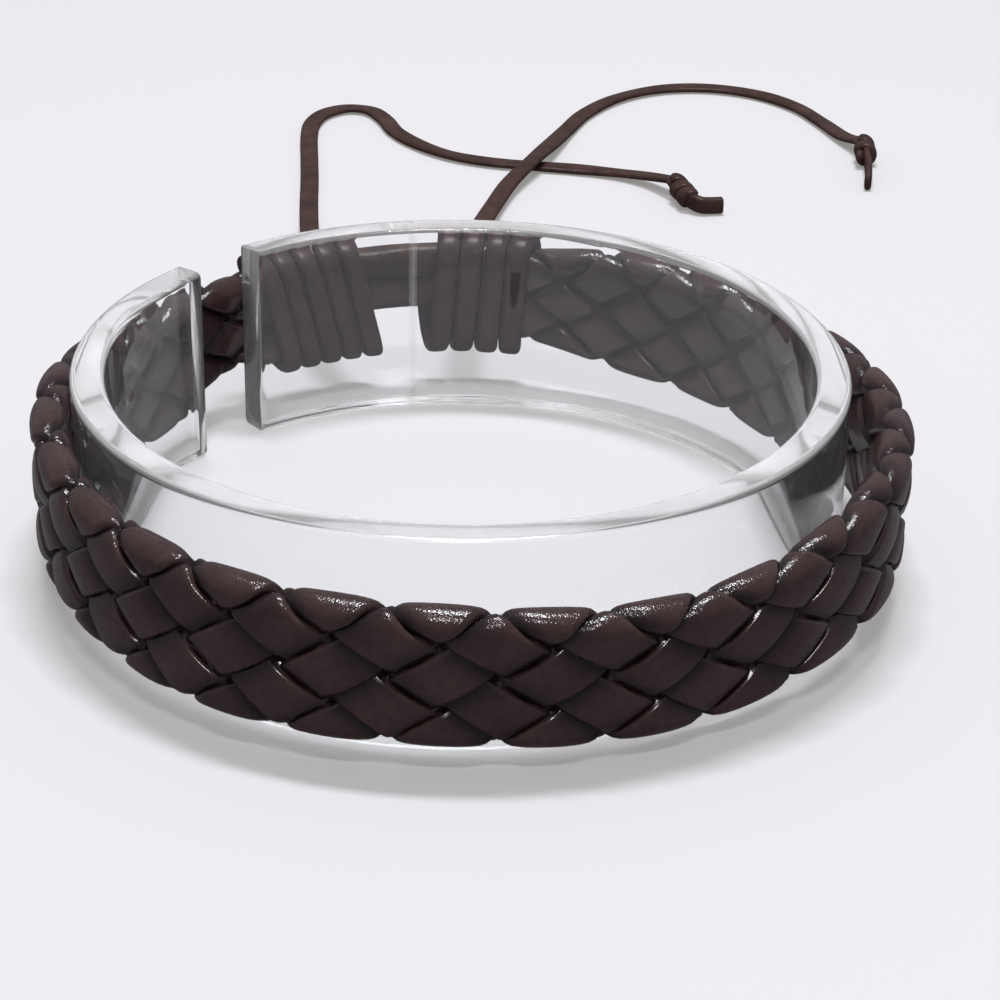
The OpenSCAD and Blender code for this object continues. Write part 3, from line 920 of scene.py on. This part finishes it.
# Between the wraps the two laces run side by side, one above the other, and slide through.
tie_from_deg, tie_to_deg = 107.8, 92.2
tie_h = 2.8
tie_lift = 1.5
tie_t = 2.4
tie_rings = 61
for name, lift_side in (("tie_upper", 1), ("tie_lower", -1)):
    share = np.linspace(0, 1, tie_rings)
    middle, outward_at, upward_at = loop_frame(tie_from_deg + (tie_to_deg - tie_from_deg) * share)
    points = middle + upward_at * (tie_lift + lift_side * (tie_h + seat_gap) / 2)
    twist = (0.35 * np.sin(share * 5 + lift_side))[:, None]
    across_at = outward_at * np.cos(twist) + upward_at * np.sin(twist)
    over_at = upward_at * np.cos(twist) - outward_at * np.sin(twist)
    profile = lace_profile(tie_t, tie_h, 28, 2.4)
    tie_mesh = plain_mesh(name, *swept(
        from_axis(points), across_at * mm, over_at * mm, profile, rounded_ends(points, 0.6)))
    tie = new_object(name, tie_mesh, lace_leather)
    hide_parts(name)
    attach(tie, "root")


# The display ring: one band of clear moulded acrylic with a cut through it at the back left, so
# that it springs. Its rims are a little rounded, and a faint mould line crosses the wall.
wall = 2.8
ring_h = 17.2
cut_mid_deg = 135.5
cut_deg = 13.5
rim_r = 0.5
rim_points = 5
inner_r = ring_r - wall
profile = []
for corner_r, corner_z, from_deg in (
        (ring_r - rim_r, ring_h - rim_r, 0), (inner_r + rim_r, ring_h - rim_r, 90),
        (inner_r + rim_r, rim_r, 180), (ring_r - rim_r, rim_r, 270)):
    for step in range(rim_points + 1):
        turn = math.radians(from_deg + 90 * step / rim_points)
        profile.append((corner_r + rim_r * math.cos(turn), corner_z + rim_r * math.sin(turn)))
profile = np.array(profile)
steps = 320
mould_deg = 98.5 + 360
mould_half_deg = 0.2
arc_deg = np.linspace(cut_mid_deg + cut_deg / 2, cut_mid_deg + 360 - cut_deg / 2, steps - 2)
arc_deg = np.sort(np.append(arc_deg, [mould_deg - mould_half_deg, mould_deg + mould_half_deg]))
arc = np.radians(arc_deg)[:, None]
around_count = len(profile)
points = np.stack([
    profile[:, 0] * np.cos(arc), profile[:, 0] * np.sin(arc),
    np.broadcast_to(profile[:, 1], (steps, around_count))], 2).reshape(-1, 3)
faces = [
    (i * around_count + j, (i + 1) * around_count + j,
     (i + 1) * around_count + (j + 1) % around_count, i * around_count + (j + 1) % around_count)
    for i in range(steps - 1) for j in range(around_count)
]
faces.append(tuple(range(around_count)))
faces.append(tuple(reversed(range((steps - 1) * around_count, steps * around_count))))
ring_mesh = plain_mesh("display_ring_clear", from_axis(points), faces)

clear_plastic = bpy.data.materials.new("clear_plastic")
clear_plastic.use_nodes = True
tree = clear_plastic.node_tree
make, join = tree.nodes.new, tree.links.new
shader = tree.nodes["Principled BSDF"]
shader.inputs["Base Color"].default_value = (0.97, 0.985, 0.99, 1)
shader.inputs["IOR"].default_value = 1.4
shader.inputs["Transmission Weight"].default_value = 0.985
place = make("ShaderNodeTexCoord")
haze = make("ShaderNodeTexNoise")
haze.inputs["Scale"].default_value = 90
haze.inputs["Detail"].default_value = 3
join(place.outputs["Object"], haze.inputs["Vector"])
haze_range = make("ShaderNodeMapRange")
haze_range.inputs["To Min"].default_value = 0.01
haze_range.inputs["To Max"].default_value = 0.04
join(haze.outputs["Fac"], haze_range.inputs["Value"])
join(haze_range.outputs["Result"], shader.inputs["Roughness"])
passing = make("ShaderNodeBsdfTransparent")
passing.inputs["Color"].default_value = (0.93, 0.94, 0.95, 1)
light_path = make("ShaderNodeLightPath")
either = make("ShaderNodeMixShader")
leave = tree.nodes["Material Output"]
join(light_path.outputs["Is Shadow Ray"], either.inputs["Fac"])
join(shader.outputs[0], either.inputs[1])
join(passing.outputs[0], either.inputs[2])
join(either.outputs[0], leave.inputs["Surface"])
ring = new_object("display_ring_clear", ring_mesh, clear_plastic)

# The rims and the faces of the cut are left as sawn and rubbed down, and a mould line crosses
# the back of the wall
matt_plastic = bpy.data.materials.new("matt_plastic")
matt_plastic.use_nodes = True
matt = matt_plastic.node_tree.nodes["Principled BSDF"]
matt.inputs["Base Color"].default_value = (0.93, 0.93, 0.935, 1)
matt.inputs["Roughness"].default_value = 0.09
matt.inputs["IOR"].default_value = 1.4
matt.inputs["Transmission Weight"].default_value = 0.87
ring_mesh.materials.append(matt_plastic)
rim_faces = set(range(1, 2 * rim_points)) | set(range(2 * rim_points + 3, 4 * rim_points + 2))
wall_faces = (2 * rim_points + 1, 4 * rim_points + 3)
for face in ring_mesh.polygons:
    i, j = divmod(face.index, around_count)
    cut_face = i >= steps - 1
    on_line = j in wall_faces and abs(arc_deg[min(i, steps - 1)] - mould_deg) <= mould_half_deg
    face.material_index = 1 if cut_face or j in rim_faces or on_line else 0
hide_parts("display_ring")
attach(ring, "root")


# The table: a plain pale sheet, and soft light from a wide panel overhead and behind, with a
# weaker one in front, in a bright room.
floor_size, floor_drop = 4.0, 0.00005
floor_mesh = plain_mesh("table_top", [
    (-floor_size, -floor_size, -floor_drop), (floor_size, -floor_size, -floor_drop),
    (floor_size, floor_size, -floor_drop), (-floor_size, floor_size, -floor_drop)], [(0, 1, 2, 3)])
pale = bpy.data.materials.new("pale_sheet")
pale.use_nodes = True
pale_shader = pale.node_tree.nodes["Principled BSDF"]
pale_shader.inputs["Base Color"].default_value = (0.332, 0.330, 0.352, 1)
pale_shader.inputs["Roughness"].default_value = 0.9
pale_shader.inputs["Emission Color"].default_value = (1.0, 0.965, 0.91, 1)
pale_shader.inputs["Emission Strength"].default_value = 0.225
# It is dimmed in what mirrors it, because its reflection made the leather's sides too grey
floor_tree = pale.node_tree
floor_path = floor_tree.nodes.new("ShaderNodeLightPath")
mirrored = floor_tree.nodes.new("ShaderNodeMath")
mirrored.operation = "SUBTRACT"
mirrored.use_clamp = True
floor_tree.links.new(floor_path.outputs["Is Glossy Ray"], mirrored.inputs[0])
floor_tree.links.new(floor_path.outputs["Is Transmission Ray"], mirrored.inputs[1])
dimmed = floor_tree.nodes.new("ShaderNodeMath")
dimmed.operation = "MULTIPLY"
dimmed.inputs[1].default_value = 0.7
floor_tree.links.new(mirrored.outputs[0], dimmed.inputs[0])
darker = floor_tree.nodes.new("ShaderNodeBsdfDiffuse")
darker.inputs["Color"].default_value = (0.02, 0.02, 0.02, 1)
floor_mix = floor_tree.nodes.new("ShaderNodeMixShader")
floor_tree.links.new(dimmed.outputs[0], floor_mix.inputs["Fac"])
floor_tree.links.new(pale_shader.outputs[0], floor_mix.inputs[1])
floor_tree.links.new(darker.outputs[0], floor_mix.inputs[2])
floor_tree.links.new(floor_mix.outputs[0], floor_tree.nodes["Material Output"].inputs["Surface"])
floor = new_object("table_top", floor_mesh, pale)

world = bpy.data.worlds.new("bright_room")
world.use_nodes = True
room = world.node_tree.nodes["Background"]
room.inputs["Strength"].default_value = 0.6
toward = world.node_tree.nodes.new("ShaderNodeTexCoord")
slope = world.node_tree.nodes.new("ShaderNodeVectorMath")
slope.operation = "DOT_PRODUCT"
slope.inputs[1].default_value = (0, 0.45, 0.89)
world.node_tree.links.new(toward.outputs["Generated"], slope.inputs[0])
fade = world.node_tree.nodes.new("ShaderNodeMix")
fade.data_type = "RGBA"
socket_of(fade, "A", "RGBA").default_value = (0.55, 0.54, 0.55, 1)
socket_of(fade, "B", "RGBA").default_value = (1.0, 1.0, 1.02, 1)
lit_share = world.node_tree.nodes.new("ShaderNodeMapRange")
lit_share.inputs["From Min"].default_value = -0.1
lit_share.inputs["From Max"].default_value = 0.9
world.node_tree.links.new(slope.outputs["Value"], lit_share.inputs["Value"])
world.node_tree.links.new(lit_share.outputs["Result"], socket_of(fade, "Factor", "VALUE"))
world.node_tree.links.new(
    next(s for s in fade.outputs if s.type == "RGBA"), room.inputs["Color"])
bpy.context.scene.world = world


def panel(name, place, width, height, power, colour):
    """A flat light that faces the frame's origin."""
    data = bpy.data.lights.new(name, "AREA")
    data.shape = "RECTANGLE"
    data.size = width
    data.size_y = height
    data.energy = power
    data.color = colour
    light = bpy.data.objects.new(name, data)
    bpy.context.scene.collection.objects.link(light)
    light.location = place
    light.rotation_euler = (-Vector(place)).to_track_quat("-Z", "Y").to_euler()


panel("panel_above", (0.02, 0.10, 0.70), 0.24, 0.06, 5.6, (0.97, 0.98, 1.0))
panel("panel_front", (0.0, -0.34, 0.56), 0.12, 0.03, 1.6, (1.0, 0.95, 0.96))
bpy.context.scene.view_settings.view_transform = "Standard"
